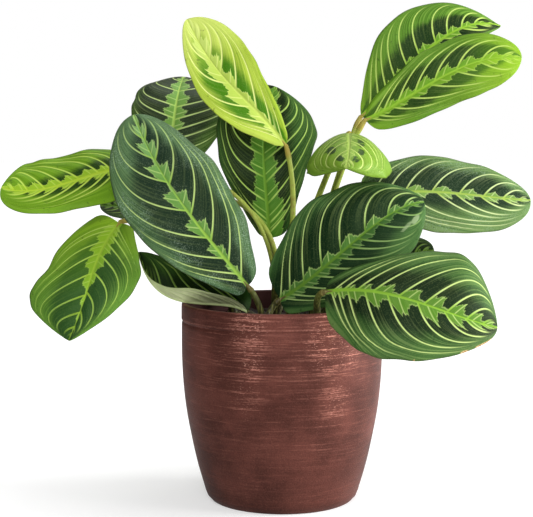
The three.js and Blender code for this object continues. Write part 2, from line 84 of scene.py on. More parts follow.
# What the blades at the back share, and the small ones that show behind others. In all tables, blades and
# shoots have the names of their nodes without leaf_ or shoot_.
BACK = {"fold": 8, "curl": -15, "wave": 0.8}
BEHIND = {"fold": 10, "curl": 0, "wave": 0.4, "lobe": 1, "heel": 0.02}
BLADES = {
    "far_left": leaf(
        [(-93, 8, 200), (-117, 0, 195), (-142, -6, 188), (-167, -8, 189)], (0, -0.8, 0.6),
        (20, 18.5, 14), (18, 22, 20), fold=(0, 5), curl=(-15, -20)),
    "low_left": leaf(
        [(-98, 2, 167), (-109, -16, 147), (-115, -30, 126), (-124, -37, 101.5)], (-0.2, -0.9, 0.4),
        (18, 28, 11.5), (22, 32, 33), lobe=5),
    "front_left": leaf(
        [(-20, -33, 133), (-43, -32, 161), (-68, -20, 194), (-89, 4, 232)], (0.1, -1, 0.5),
        (16, 32, 24), (18, 31, 23), fold=(8, 10), curl=(-20, -30), tip_curl=-30, wave=1.5, shift=0.3,
        lobe=(5, 1)),
    "upper_left": leaf(
        [(-70, 25, 199), (-67, 34, 229), (-65, 48, 246), (-63, 70, 256)], (0, -0.9, 0.5),
        (21, 28, 19), (23, 36, 25), lobe=3),
    "top_young": leaf(
        [(2, -8, 214), (-18, -8, 237), (-38, 0, 258), (-57, 10, 289)], (0, -1, 0.3),
        (11, 19.2, 11.5), (9, 19.5, 20), fold=10, curl=-10, wave=0.5, lobe=0, heel=0.008),
    "centre": leaf(
        [(-8, 6, 158), (-10, 6, 188), (-11, 12, 218), (-4, 24, 249)], (0, -1, 0.2),
        (12, 26, 26), (15.5, 27.5, 29), curl=-10, tip_curl=-20, lobe=1),
    "top_right_back": leaf(
        [(48, 14, 231), (74, 14, 258), (102, 18, 281), (133, 26, 286)], (0, -1, 0.3),
        (14, 28, 9), (10, 18, 10), curl=-10, lobe=(0, 1), heel=0.02),
    "top_right_front": leaf(
        [(50, 2, 229), (79, -4, 245), (109, -8, 261), (141, -6, 265)], (0, -1, 0.3),
        (12, 19, 14.5), (12.5, 18.3, 16.5), curl=-10, lobe=0, heel=0.015),
    "small_curled": leaf(
        [(40, 0, 221), (39, -22, 219), (38, -42, 212), (36, -55, 202)], (0, -0.3, 1),
        (26, 33, 22), fold=0, curl=-75, lobe=0, heel=0.02),
    "right": leaf(
        [(49, 10, 181), (82, 4, 186), (116, 0, 184), (149, 2, 181)], (0, -0.9, 0.5),
        (21, 24, 15), (18, 26, 19), curl=-15),
    "front_centre": leaf(
        [(-1, -24, 124), (29, -34, 148), (56, -38, 171), (82, -32, 182)], (0, -1, 0.5),
        (29, 36, 17), (17, 28, 20), curl=(-20, -10), lobe=(5, 4), heel=0.05),
    "front_right": leaf(
        [(25, -52, 132), (57, -67, 133), (87, -74, 125), (120, -69, 114)], (0, -1, 0.6),
        (16, 34, 33.5), (29, 37, 19.5)),
    "rim_left": leaf(
        [(-20, -26, 117), (-43, -18, 120.5), (-69, -7, 124), (-86, -3, 150)], (0, -0.3, 1),
        (8, 14, 4), (16, 27, 21), fold=(60, 50), curl=0, wave=0.4, lobe=0, heel=0.02),
    "left_behind": leaf(
        [(-63, 28, 170), (-78, 26, 172), (-95, 24, 175), (-112, 22, 176)], (0, -0.6, 0.8),
        (12, 16, 12), **BEHIND),
    "right_behind": leaf(
        [(47, -5, 129), (62, 0, 137), (77, 4, 146), (92, 6, 150)], (0, -0.6, 0.8),
        (12, 16, 12), **BEHIND),
    "back_left_low": leaf(
        [(-36, 54, 138), (-40, 78, 134), (-42, 99, 116), (-43, 111, 88)], (0, 0.6, 0.8),
        (15, 20, 14), lobe=3, **BACK),
    "back_left_high": leaf(
        [(-45, 35, 165), (-57, 52, 170), (-69, 70, 165), (-80, 86, 150)], (-0.2, 0.3, 1),
        (15, 22, 16), **BACK),
    "back_right_low": leaf(
        [(45, 50, 140), (57, 74, 138), (67, 96, 122), (76, 112, 95)], (0.3, 0.6, 0.8),
        (18, 26, 18), lobe=3, **BACK),
    "back_right_high": leaf(
        [(30, 40, 160), (36, 64, 170), (42, 88, 173), (48, 110, 166)], (0, 0, 1),
        (14, 21, 14), lobe=3, **BACK),
    "back_upright": leaf(
        [(0, 36, 182), (-2, 44, 201), (-3, 50, 220), (-1, 62, 238)], (0, 1, 0.4),
        (10, 16, 13), heel=0.02, **BACK),
    "back_centre": leaf(
        [(18, 66, 128), (17, 84, 122), (15, 98, 104), (13, 104, 78)], (0, 0.8, 0.6),
        (15, 22, 15), **BACK),
}

# Each shoot as the part has it: where it leaves the soil, then for each blade the stalk's radius at its foot
# and the two points that pull its curve.
SHOOTS = {
    "front": ((-9, -27), {
        "front_left": (2.3, (-11, -30, 113), (-13, -33, 125)),
        "front_centre": (2.4, (-9, -25, 112), (-8, -22, 118)),
        "rim_left": (1.8, (-10, -28, 112), (-15, -27, 115)),
    }),
    "front_right": ((22, -36), {"front_right": (2.4, (21, -38, 118), (17, -48, 130))}),
    "right": ((19, -6), {
        "right": (2.4, (18, 0, 140), (30, 12, 172)),
        "right_behind": (1.8, (22, -6, 118), (38, -8, 123)),
    }),
    "tall": ((5, 8), {
        "top_right_back": (2.2, (17, 9, 135), (38, 13, 214)),
        "top_right_front": (2.2, (18, 4, 140), (37, 4.5, 212)),
        "small_curled": (2.2, (4, 7, 150), (36, 15, 218)),
    }),
    "centre": ((-6, 18), {
        "top_young": (2, (9, 4, 150), (9, -9, 190)),
        "centre": (1.7, (0, 12, 128), (-4, 6, 146)),
        "upper_left": (1.5, (14, -24, 198), (-58, 16, 178)),
        "back_upright": (2, (8, 30, 130), (8, 34, 160)),
        "far_left": (1.5, (4, -12, 174), (-36, -6, 206)),
    }),
    "left": ((-28, 8), {
        "low_left": (2.2, (-34, 14, 150), (-70, 14, 175)),
        "left_behind": (1.8, (-30, 16, 140), (-45, 28, 165)),
    }),
    "back_left": ((-30, 32), {
        "back_left_low": (2.2, (-32, 36, 124), (-33, 42, 138)),
        "back_left_high": (2.2, (-32, 30, 135), (-37, 25, 160)),
    }),
    "back_right": ((22, 32), {
        "back_right_low": (2.2, (28, 36, 122), (38, 42, 136)),
        "back_right_high": (2.2, (24, 32, 130), (27, 34, 150)),
        "back_centre": (2.2, (21, 38, 122), (19, 52, 131)),
    }),
}


# Side veins and colours of a half blade, all in percent: where each vein leaves the midrib, the part of the
# half width that the veins bend towards, and how slowly they bend, near the base and further up. The rest is
# for the base, each third and the tip: how far the light pattern beside the midrib reaches across the half,
# how far between its lobes, how far the dark patches reach, and how much of the colour is young.
PROFILES = ("lobe", "notch", "dark", "young")
PLAIN = ([3, 10, 20, 33, 47, 61, 74, 85, 94], 97, (10, 19),
         (30, 30, 30, 30), (10, 6, 6, 10), (80, 80, 80, 70))
# The left half's row and the right half's. A row without the last four numbers has nothing young.
VEINS = {
    "front_left": [
        ([2.5, 9, 20, 33.3, 49.5, 65.5, 78, 88, 95], 104, (13, 18.5), (20, 28, 28, 30), (8, 3, 3, 8),
         (80, 75, 66, 10), (0, 0, 10, 100)),
        ([6, 17, 31, 46.7, 64, 76.7, 87, 94], 86, (12, 18), (16, 23, 25, 30), (8, 3, 3, 8),
         (50, 60, 70, 30), (0, 0, 10, 100)),
    ],
    "front_right": [
        ([4, 9.6, 17.5, 26.7, 42, 57.5, 71.3, 83, 92], 100, (12, 22), (20, 28, 27, 24), (8, 6, 5, 7),
         (60, 62, 55, 40)),
        ([3, 6.7, 12.1, 22, 35.4, 53.7, 70, 82, 91], 88, (6, 20), (24, 34, 38, 36), (15, 12, 7, 10),
         (50, 58, 60, 65)),
    ],
    "front_centre": [
        ([0, 6, 15, 26.7, 39.6, 56.7, 73, 85, 94], 105, (12, 20), (22, 19, 20, 24), (14, 4, 2, 8),
         (74, 78, 78, 72), (20, 0, 0, 60)),
        ([1.3, 5.8, 13, 21.7, 28.3, 35.8, 44.6, 51, 64.6, 78, 90], 97, (12, 20), (45, 26, 20, 18),
         (28, 16, 8, 10), (80, 74, 50, 45), (70, 80, 100, 100)),
    ],
    "centre": [
        ([6.7, 11.7, 24.6, 40.8, 55.4, 69, 81, 92], 85, (8, 11), (130, 40, 33, 30), (100, 28, 22, 18),
         (95, 90, 85, 80)),
        ([3, 9.2, 22.5, 36.7, 51.2, 65, 78, 90], 93, (10, 20), (130, 40, 33, 30), (100, 30, 22, 18),
         (80, 72, 55, 45)),
    ],
    "upper_left": [
        ([6, 14, 23, 34.6, 47.1, 67.9, 87, 95], 100, (4, 10), (30, 34, 32, 30), (20, 17, 14, 12),
         (75, 90, 95, 95)),
        ([9, 17, 23.7, 33, 45.8, 67.9, 87, 95], 100, (5, 17), (25, 27, 27, 25), (15, 13, 12, 10),
         (60, 70, 85, 95)),
    ],
    "top_young": [
        ([4, 9.2, 17.1, 32.9, 55.8, 73.8, 87], 92, (14, 17), (30, 42, 42, 50), (20, 20, 20, 30),
         (5, 66, 66, 20), (30, 0, 0, 100)),
        ([3, 8.7, 14.2, 28.7, 49.2, 64.6, 75.8, 87], 86, (12, 18), (20, 26, 30, 40), (14, 12, 12, 20),
         (60, 50, 46, 5), (0, 0, 0, 100)),
    ],
    "far_left": [
        ([9, 17, 28, 40, 53.7, 65.8, 78, 90], 80, (22, 30), (22, 24, 24, 24), (12, 10, 10, 10),
         (30, 40, 34, 2)),
        ([6, 14, 23.7, 39.2, 52.1, 65.8, 79, 90], 85, (6, 13), (30, 30, 28, 30), (20, 12, 12, 20),
         (60, 40, 26, 0)),
    ],
    "low_left": [
        ([1.7, 4.6, 10, 17.5, 29.2, 45, 62.5, 78, 90], 92, (12, 21), (40, 28, 4, 0), (32, 12, 0, 0),
         (40, 62, 70, 75), (90, 10, 0, 0)),
        ([1.7, 6.7, 17.1, 28.3, 46.2, 65, 79, 90], 97, (14, 26), (42, 30, 8, 0), (35, 14, 0, 0),
         (20, 55, 65, 60), (100, 50, 10, 0)),
    ],
    "top_right_back": [
        ([6, 13.3, 19.6, 26.7, 35.8, 44.6, 56.2, 64.6, 74, 82.5, 92], 104, (11, 8.5), (20, 20, 20, 30),
         (6, 5, 5, 10), (45, 50, 55, 50), (60, 10, 0, 10)),
        PLAIN,
    ],
    "top_right_front": [
        ([5.4, 12.1, 21.7, 32.9, 45.8, 60, 75.4, 88], 90, (10, 15), (30, 38, 32, 30), (20, 14, 10, 14),
         (50, 66, 66, 40), (50, 10, 10, 100)),
        ([3, 7.9, 17.5, 28.7, 42.5, 58.8, 73.8, 87], 80, (9, 14.5), (25, 30, 30, 30), (18, 12, 12, 16),
         (45, 60, 50, 10), (50, 10, 50, 100)),
    ],
    "rim_left": [
        PLAIN,
        ([2, 9, 20, 34, 50, 70], 104, (40, 45), (10, 10, 10, 10), (3, 3, 3, 3), (50, 60, 55, 30)),
    ],
    "small_curled": [
        ([0, 5, 14, 27, 44, 63, 83], 105, (55, 45), (12, 16, 16, 20), (5, 5, 5, 10), (0, 0, 0, 0)),
        ([0, 7, 17, 30, 46, 66, 85], 105, (55, 45), (12, 16, 16, 20), (5, 5, 5, 10), (0, 0, 0, 0)),
    ],
    "right": [
        ([6, 15.4, 25.4, 41.2, 57.1, 71.3, 83, 93], 102, (10, 12), (20, 22, 20, 22), (8, 4, 4, 10),
         (66, 76, 74, 45)),
        ([5, 13, 25, 43.8, 54.6, 69.2, 82, 92], 75, (10, 21), (20, 22, 20, 22), (8, 4, 4, 10),
         (46, 44, 42, 30)),
    ],
}

# Single marks on a blade: the row that holds each, the half, and in percent its place along and out from the
# midrib, how long and wide it is, and how strong.
MARKS = {
    "small_curled": [
        ("spot", 1, 20, 52, 24, 18, 80), ("spot", 1, 62, 33, 13, 14, 90), ("spot", 1, 82, 20, 8, 15, 90),
        ("spot", 0, 48, 20, 16, 10, 80), ("spot", 0, 68, 24, 9, 11, 80), ("spot", 0, 83, 20, 8, 13, 90),
    ],
    "front_right": [
        ("blemish", 1, 94, 97, 6, 8, 100), ("blemish", 1, 85, 99, 3, 6, 90),
        ("blemish", 1, 62, 99, 0.8, 5, 70),
    ],
    # The pale marks are a painted highlight, where the folded half near the tip catches the light.
    "front_centre": [("pale", 1, 80, 50, 9, 8, 70), ("pale", 1, 88, 54, 6, 14, 100)],
    "far_left": [("blemish", 0, 93, 97, 4, 4, 50)],
}
MARK_ROWS = ("spot", "blemish", "pale")

# Where half widths are given, as shares of the length, the least rounding of the ends, the least half width,
# and how many waves run along an edge.
STATIONS = (0.15, 0.5, 0.85)
LEAST_ROUND = 0.04
LEAST_WIDTH = 2
WAVES = 3

# Cells of a blade along its length and on each side of the midrib.
CELLS_ALONG = 120
CELLS_ACROSS = 30
# How much of the spacing along is even and not closer at the ends, and the power of the spacing across.
EVEN_PART = 0.4
ACROSS_POWER = 1.25
# A blade's thickness, the height of the pleats between side veins that are WIDE_GAP or more apart, and the
# groove above and the rib below the midrib.
THICKNESS = 0.5
PLEAT = 0.4
WIDE_GAP = 9
GROOVE = 0.25
GROOVE_WIDTH = 0.8
RIB = 0.9
RIB_WIDTH = 1
# How far the base's corners are drawn in, as a share of the length, and the three sines of the uneven edge.
BASE_ROUND = 0.05
UNEVEN = 0.008
UNEVEN_TURNS = (9, 19, 33)
# In the UV map the two sides lie beside each other: the midrib, half the width, the step to the lower side,
# and the margin at the ends.
UV_MIDRIB = 0.245
UV_HALF = 0.235
UV_BELOW = 0.5
UV_MARGIN = 0.01

# Places on the midrib, and beyond its ends, where the vein field's lines start. Their bend changes up to
# BEND_UNTIL. More veins follow the last one at a fixed step. Before the first one the count falls by
# FIRST_FALL at most. Just short of their reach the lines run straight for RUN_OUT.
STARTS = np.linspace(-1.6, 1.4, 900)
BEND_UNTIL = 0.4
MORE_VEINS = 11
MORE_STEP = 0.05
FIRST_FALL = 0.3
RUN_OUT = 0.06
# Steps between the vein counts of two blades and of two halves, so that no two have the same fibres.
BLADE_COUNT = 40
HALF_COUNT = 20


def smooth(value, low, high):
    """0 below low, 1 above high and a smooth step between them."""
    share = np.clip((value - low) / (high - low), 0, 1)
    return share * share * (3 - 2 * share)


def unit(vectors):
    return vectors / np.linalg.norm(vectors, axis=-1, keepdims=True)


def spine_points(spine, t):
    """Points on the curve through the spine's four points, at shares t of its run."""
    a, b, c, d = (np.array(p, float) for p in spine)
    t = np.asarray(t, float)[..., None]
    return (
        a * (1 - 3 * t) * (2 - 3 * t) * (1 - t) / 2
        + b * 9 * t * (2 - 3 * t) * (1 - t) / 2
        + c * 9 * t * (3 * t - 1) * (1 - t) / 2
        + d * t * (3 * t - 1) * (3 * t - 2) / 2
    )


def spine_frame(blade, t):
    """The ways along the spine and up from the blade, at shares t of its run."""
    step = 1e-4
    along = unit(spine_points(blade["spine"], t + step) - spine_points(blade["spine"], t - step))
    face = unit(np.array(blade["face"], float))
    return along, unit(face - (along @ face)[..., None] * along)


def rounding(t, heel):
    share = np.maximum(np.sin(np.pi * (heel + (1 - heel) * t)), 0)
    return np.maximum(np.sqrt(share), LEAST_ROUND)


def half_width(t, widths, heel):
    low, middle, high = (w / rounding(at, heel) for w, at in zip(widths, STATIONS))
    u = (t - STATIONS[1]) / (STATIONS[2] - STATIONS[1])
    width = middle + u * (high - low) / 2 + u * u * ((low + high) / 2 - middle)
    return rounding(t, heel) * np.maximum(width, LEAST_WIDTH)


def half_blade(blade, side, t, out, uneven):
    """Points and normals of a half blade's middle surface and their distance from the midrib."""
    sign = (-1, 1)[side]
    along, up = spine_frame(blade, t)
    across = np.cross(along, up)
    fold = math.radians(blade["fold"][side])
    first, last = blade["curl"][side]
    curl = np.radians(first + (last - first) * t)
    curl = np.where(np.abs(curl) < 1e-9, 1e-4, curl)
    angle = fold + curl * out
    width = half_width(t, blade["half"][side], blade["heel"]) * (1 + uneven * out**4)
    sideways = width * (np.sin(angle) - math.sin(fold)) / curl
    lift = width * (math.cos(fold) - np.cos(angle)) / curl
    turn = 2 * np.pi * (WAVES * t + blade["shift"][side])
    ripple = blade["wave"] * out**2 * np.sin(turn) * np.sqrt(np.clip(np.sin(np.pi * t), 0, 1))
    back = blade["lobe"][side] * out**1.6 * (1 - t) ** 4
    normals = up * np.cos(angle)[..., None] - sign * across * np.sin(angle)[..., None]
    points = (
        spine_points(blade["spine"], t)
        + across * (sign * sideways)[..., None]
        + up * lift[..., None]
        - along * back[..., None]
        + normals * ripple[..., None]
    )
    return points, normals, width * out


def vein_field(at, reach, bends, t, out):
    """A number at each point of a half blade: 0, 1, 2 on its side veins, and running evenly between them."""
    bend = bends[0] + (bends[1] - bends[0]) * smooth(STARTS, 0, BEND_UNTIL)
    beyond = at[-1] + MORE_STEP * np.arange(1, MORE_VEINS + 1)
    count = np.interp(STARTS, np.concatenate([at, beyond]), np.arange(len(at) + MORE_VEINS))
    before = np.minimum(STARTS - at[0], 0) / (at[1] - at[0])
    count = np.where(STARTS < at[0], FIRST_FALL * (np.exp(before) - 1), count)
    field = np.zeros(t.shape)
    for j, share in enumerate(out[0]):
        inner = min(share, reach - RUN_OUT)
        spread = -math.log(1 - inner / reach) + (share - inner) / RUN_OUT
        field[:, j] = np.interp(np.interp(t[:, j], STARTS + bend * spread, STARTS), STARTS, count)
    return field


def vein_gap(field, points):
    """Distance in millimetres from one side vein to the next, at each point."""
    slope_t, slope_out = np.gradient(field)
    step_t, step_out = np.gradient(points, axis=0), np.gradient(points, axis=1)
    a = (step_t**2).sum(-1)
    b = (step_t * step_out).sum(-1)
    c = (step_out**2).sum(-1)
    steep = c * slope_t**2 - 2 * b * slope_t * slope_out + a * slope_out**2
    steep = steep / np.maximum(a * c - b * b, 1e-6)
    return np.clip(1 / np.sqrt(np.maximum(steep, 1e-6)), 0.3, 60)


def mark_row(name, row, side, t, out):
    """How strong the blade's single marks of one kind are at each point of a half."""
    value = np.zeros(t.shape)
    for kind, half, *numbers in MARKS.get(name, []):
        if kind == row and half == side:
            at, away, length, width, strength = np.array(numbers) / 100
            far = np.hypot((t - at) / length, (out - away) / width)
            value = np.maximum(value, strength * (1 - smooth(far, 0.4, 1)))
    return value


def new_mesh(name, points, faces, rows=None, domain="CORNER"):
    """A mesh object from points in millimetres and faces, with named numbers for each corner or point."""
    mesh = bpy.data.meshes.new(name)
    mesh.from_pydata((np.asarray(points) * MM).tolist(), [], [tuple(face) for face in faces])
    for row, values in (rows or {}).items():
        values = np.asarray(values, np.float32).ravel()
        mesh.attributes.new(row, "FLOAT", domain).data.foreach_set("value", values)
    mesh.shade_smooth()
    piece = bpy.data.objects.new(name, mesh)
    bpy.context.scene.collection.objects.link(piece)
    return piece


def add_uv(piece, values):
    layer = piece.data.uv_layers.new(name="OFBake")
    layer.data.foreach_set("uv", np.asarray(values, np.float32).ravel())


def finish_piece(piece, node, slot, *materials):
    for material in materials:
        piece.data.materials.append(material)
    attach(piece, "root")
    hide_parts(node)


def blade_half(name, side, line, share):
    """One half of a blade on a grid: points above and below, and the numbers that its look reads."""
    number = list(BLADES).index(name)
    phases = np.random.default_rng(number).uniform(0, 2 * np.pi, (2, len(UNEVEN_TURNS)))[side]
    at, reach, bends, *profiles = (np.array(row) / 100 for row in VEINS.get(name, [PLAIN, PLAIN])[side])
    t, out = np.meshgrid(line, share, indexing="ij")
    t = t + BASE_ROUND * (1 - smooth(t, 0, 0.2)) * (1 - np.sqrt(1 - out**2))
    uneven = UNEVEN * sum(np.sin(turns * t + phase) for turns, phase in zip(UNEVEN_TURNS, phases))
    points, normals, mid = half_blade(BLADES[name], side, t, out, uneven)
    field = vein_field(at, reach, bends, t, out)
    gap = vein_gap(field, points)
    rise = PLEAT * (0.5 - 0.5 * np.cos(2 * np.pi * field)) * np.clip(gap / WIDE_GAP, 0, 1)
    rise *= smooth(out, 0, 0.2) * (1 - smooth(out, 0.8, 1)) * smooth(t, 0, 0.08) * (1 - smooth(t, 0.9, 1))
    thick = THICKNESS / 2 * (1 - 0.5 * smooth(out, 0.9, 1))
    groove = GROOVE * np.exp(-((mid / GROOVE_WIDTH) ** 2)) * (1 - 0.6 * t)
    rib = RIB * (1 - 0.7 * t) * np.exp(-((mid / RIB_WIDTH) ** 2))
    top = points + normals * (rise + thick - groove)[..., None]
    bottom = points + normals * (rise - thick - rib)[..., None]
    field = field + BLADE_COUNT * number + HALF_COUNT * side
    rows = {"vein": field, "gap": gap, "out": out, "mid": mid, "along": t, "young": np.zeros(t.shape)}
    for row, values in zip(PROFILES, profiles):
        rows[row] = np.interp(t, (0, 1 / 3, 2 / 3, 1), values)
    for row in MARK_ROWS:
        rows[row] = mark_row(name, row, side, t, out)
    return top, bottom, rows


def make_blade(name, slot, *materials):
    even = np.arange(CELLS_ALONG + 1) / CELLS_ALONG
    line = (1 - EVEN_PART) * (1 - np.cos(np.pi * even)) / 2 + EVEN_PART * even
    share = (np.arange(CELLS_ACROSS + 1) / CELLS_ACROSS) ** ACROSS_POWER
    (*left, left_rows), (*right, right_rows) = (blade_half(name, side, line, share) for side in (0, 1))
    sides = [np.concatenate([a[:, :0:-1], b], axis=1).reshape(-1, 3) for a, b in zip(left, right)]

    # Faces above, below and round the edge. Columns of points are counted from the left edge.
    width = 2 * CELLS_ACROSS + 1
    below = len(sides[0])
    i, j = np.meshgrid(np.arange(CELLS_ALONG), np.arange(width - 1), indexing="ij")
    a = (i * width + j).ravel()
    upper = np.stack([a, a + 1, a + width + 1, a + width], 1)

    def rim(start, step):
        return np.stack([start, start + step, below + start + step, below + start], 1)

    left_edge, base = np.arange(CELLS_ALONG) * width, np.arange(width - 1)
    turned = [0, 3, 2, 1]
    faces = np.concatenate([
        upper, upper[:, ::-1] + below,
        rim(left_edge, width), rim(left_edge + width - 1, width)[:, turned],
        rim(base, 1)[:, turned], rim(base + CELLS_ALONG * width, 1),
    ])
    rims = 2 * len(upper)

    # The halves meet at the midrib but differ in their numbers there, so each corner takes its own half's.
    column = faces % below % width
    on_left = (column.mean(1) < CELLS_ACROSS)[:, None]
    rows = {}
    for row in left_rows:
        left_values = np.concatenate([left_rows[row][:, ::-1], right_rows[row][:, 1:]], axis=1).ravel()
        right_values = np.concatenate([left_rows[row][:, :0:-1], right_rows[row]], axis=1).ravel()
        rows[row] = np.where(on_left, left_values[faces % below], right_values[faces % below])
    piece = new_mesh("blade_" + name, np.concatenate(sides), faces, rows)
    u = UV_MIDRIB + UV_HALF * np.concatenate([-share[:0:-1], share])[column]
    u = np.where((faces >= below).all(1)[:, None], u + UV_BELOW, u)
    v = UV_MARGIN + (1 - 2 * UV_MARGIN) * line[faces % below // width]
    add_uv(piece, np.stack([u, v], -1))
    slots = np.zeros(len(faces), np.int32)
    slots[len(upper):rims] = 1
    piece.data.polygons.foreach_set("material_index", slots)
    sharp = np.arange(len(faces)) >= rims
    piece.data.attributes.new("sharp_face", "BOOLEAN", "FACE").data.foreach_set("value", sharp)
    finish_piece(piece, "leaf_" + name, slot, *materials)


def ring_faces(rings, sides):
    """Four-cornered faces between rings of points that follow each other."""
    faces = []
    for i in range(rings - 1):
        for k in range(sides):
            a, b = i * sides + k, i * sides + (k + 1) % sides
            faces.append((a, b, b + sides, a + sides))
    return faces


def end_faces(rings, sides):
    """Faces from the first and the last ring to the two middle points that follow all rings."""
    faces = []
    for k in range(sides):
        faces.append((rings * sides, (k + 1) % sides, k))
        faces.append((rings * sides + 1, (rings - 1) * sides + k, (rings - 1) * sides + (k + 1) % sides))
    return faces


def join(parts):
    """Points and faces of several shapes as those of one."""
    points, faces = [], []
    start = 0
    for made, sides in parts:
        points.append(made)
        faces += [tuple(index + start for index in face) for face in sides]
        start += len(made)
    return np.concatenate(points), faces


def tube(points, radii, sides):
    """Points and faces of a closed round tube through the given points."""
    points, radii = np.asarray(points, float), np.asarray(radii, float)
    along = unit(np.gradient(points, axis=0))
    normal = np.array([1.0, 0.0, 0.0])
    turn = 2 * np.pi * np.arange(sides) / sides
    rings = []
    for place, way, radius in zip(points, along, radii):
        normal = unit(normal - (normal @ way) * way)
        other = np.cross(way, normal)
        rings.append(place + radius * (np.cos(turn)[:, None] * normal + np.sin(turn)[:, None] * other))
    made = np.concatenate([*rings, points[:1], points[-1:]])
    return made, ring_faces(len(points), sides) + end_faces(len(points), sides)


# Points along a stalk in the scene, sides of its tube, and how much thicker its foot is.
STALK_POINTS = 60
STALK_SIDES = 14
FOOT_SWELL = 0.35
# Where the stalk runs on under its blade, as shares of the length, its radii there, and how far below.
UNDER_BLADE = np.array([0.012, 0.03, 0.05])
UNDER_RADII = (0.95, 0.75, 0.4)
UNDER_DROP = 0.55
# Heights and radii of the mound at a shoot's foot.
MOUND = [(94, 5), (100, 5), (104, 5), (106.5, 5), (108, 4.9), (109.2, 4.5), (110, 3.6), (110.4, 2.2)]
MOUND_SIDES = 24


def stalk_line(root, blade, pull, u):
    """Points at shares u of a stalk's curve, from the soil to just short of its blade."""
    foot = (*root, SOIL_TOP - STALK_SINK)
    way = spine_frame(blade, np.array([0.0]))[0][0]
    end = np.array(blade["spine"][0], float) - (2 * GAP + 0.1 * max(blade["lobe"])) * way
    a, b, c, d = (np.array(point, float) for point in (foot, *pull, end))
    u = u[:, None]
    return a * (1 - u) ** 3 + 3 * b * u * (1 - u) ** 2 + 3 * c * u * u * (1 - u) + d * u**3


def make_shoot(name, material):
    root, stalks = SHOOTS[name]
    parts, places = [], []
    for end, (radius, *pull) in stalks.items():
        blade = BLADES[end]
        u = np.linspace(0, 1, STALK_POINTS)
        radii = radius * (1 - STALK_TAPER * u)
        radii += JOINT_SWELL * radius * np.exp(-(((u - JOINT_PLACE) / JOINT_LENGTH) ** 2))
        radii += FOOT_SWELL * radius * (1 - smooth(u, 0.05, 0.22))
        up = spine_frame(blade, UNDER_BLADE)[1]
        under = spine_points(blade["spine"], UNDER_BLADE) - up * UNDER_DROP
        line = np.concatenate([stalk_line(root, blade, pull, u), under])
        parts.append(tube(line, [*radii, *UNDER_RADII], STALK_SIDES))
        places += [np.repeat(np.linspace(0, 1, len(line)), STALK_SIDES), (0, 1)]
    mound = tube([(*root, z) for z, _ in MOUND], [radius for _, radius in MOUND], MOUND_SIDES)
    places.append(np.zeros(len(mound[0])))
    rows = {"along": np.concatenate(places)}
    piece = new_mesh("stalks_" + name, *join([*parts, mound]), rows, "POINT")
    finish_piece(piece, "shoot_" + name, "stalk", material)


def lathe(profile, sides):
    """Points, faces and UV corners of a turned solid. Its profile starts and ends on the axis."""
    profile = np.asarray(profile, float)
    turn = 2 * np.pi * np.arange(sides) / sides
    radii, heights = profile[1:-1, :1], profile[1:-1, 1:]
    count = len(radii)
    points = np.stack([radii * np.sin(turn), -radii * np.cos(turn), np.repeat(heights, sides, 1)], -1)
    points = np.concatenate([points.reshape(-1, 3), [(0, 0, profile[0, 1]), (0, 0, profile[-1, 1])]])
    length = np.concatenate([[0], np.cumsum(np.linalg.norm(np.diff(profile, axis=0), axis=1))])
    length = length / length[-1]
    corners = []
    for low, high in zip(length[1:count], length[2:count + 1]):
        for k in range(sides):
            corners += [(k / sides, low), ((k + 1) / sides, low), ((k + 1) / sides, high), (k / sides, high)]
    for k in range(sides):
        corners += [((k + 0.5) / sides, 0), ((k + 1) / sides, length[1]), (k / sides, length[1])]
        corners += [((k + 0.5) / sides, 1), (k / sides, length[-2]), ((k + 1) / sides, length[-2])]
    return points, ring_faces(count, sides) + end_faces(count, sides), np.array(corners)


def side_radius(height):
    """Radius of the pot's outside at a height, on a smooth curve through the part's own points."""
    levels, radii = np.array(POT_SIDE, float).T
    slopes = np.gradient(radii, levels)
    k = int(np.clip(np.searchsorted(levels, height) - 1, 0, len(levels) - 2))
    span = levels[k + 1] - levels[k]
    s = (height - levels[k]) / span
    return (
        (2 * s**3 - 3 * s**2 + 1) * radii[k] + (s**3 - 2 * s**2 + s) * span * slopes[k]
        + (3 * s**2 - 2 * s**3) * radii[k + 1] + (s**3 - s**2) * span * slopes[k + 1]
    )


# Radii and heights of the pot's foot, and of the rim band from its lower lip over the rim.
POT_FOOT = [(0, 0), (41, 0), (42.4, 0.15), (43.2, 0.6), (43.7, 1.3)]
RIM_BAND = [
    (60.42, 107.2), (60.36, 107.8), (60.1, 108.2), (59.86, 108.7), (59.8, 109.1), (59.95, 109.5),
    (60.35, 109.8), (60.56, 110.1), (60.6, 110.6), (60.58, 114), (60.54, 117.4), (60.45, 118.8),
    (60.2, 119.5), (59.8, 119.85), (59.3, 120), (58, 120), (57.5, 119.85), (57.15, 119.5), (57, 118.8),
]
BAND_FROM = 105
POT_TURNS = 160
SOIL_TURNS = 120
# Rings of the soil's top from its edge to the smallest, how high its finer lumps are, the seed of its crumbs,
# and how many are tried.
SOIL_RINGS = 46
FINE_LUMP = 0.35
CRUMB_SEED = 7
CRUMBS = 260
CRUMB_RINGS = 5
CRUMB_SIDES = 7


def make_pot(material):
    side = [(side_radius(height), height) for height in np.arange(3, BAND_FROM + 0.1, 3)]
    levels = (104, 95, 87, 70, 55, 40, 25, 10, FLOOR + 1.5)
    inside = [(side_radius(height) - WALL, height) for height in levels]
    floor = [(inside[-1][0] - 2, FLOOR), (0, FLOOR)]
    points, faces, corners = lathe(POT_FOOT + side + RIM_BAND + inside + floor, POT_TURNS)
    within = [
        z > FLOOR / 2 and math.hypot(x, y) < side_radius(min(z, BAND_FROM)) - WALL / 2 for x, y, z in points
    ]
    piece = new_mesh("planter", points, faces, {"inside": within}, "POINT")
    add_uv(piece, corners)
    finish_piece(piece, "pot", "pot", material)


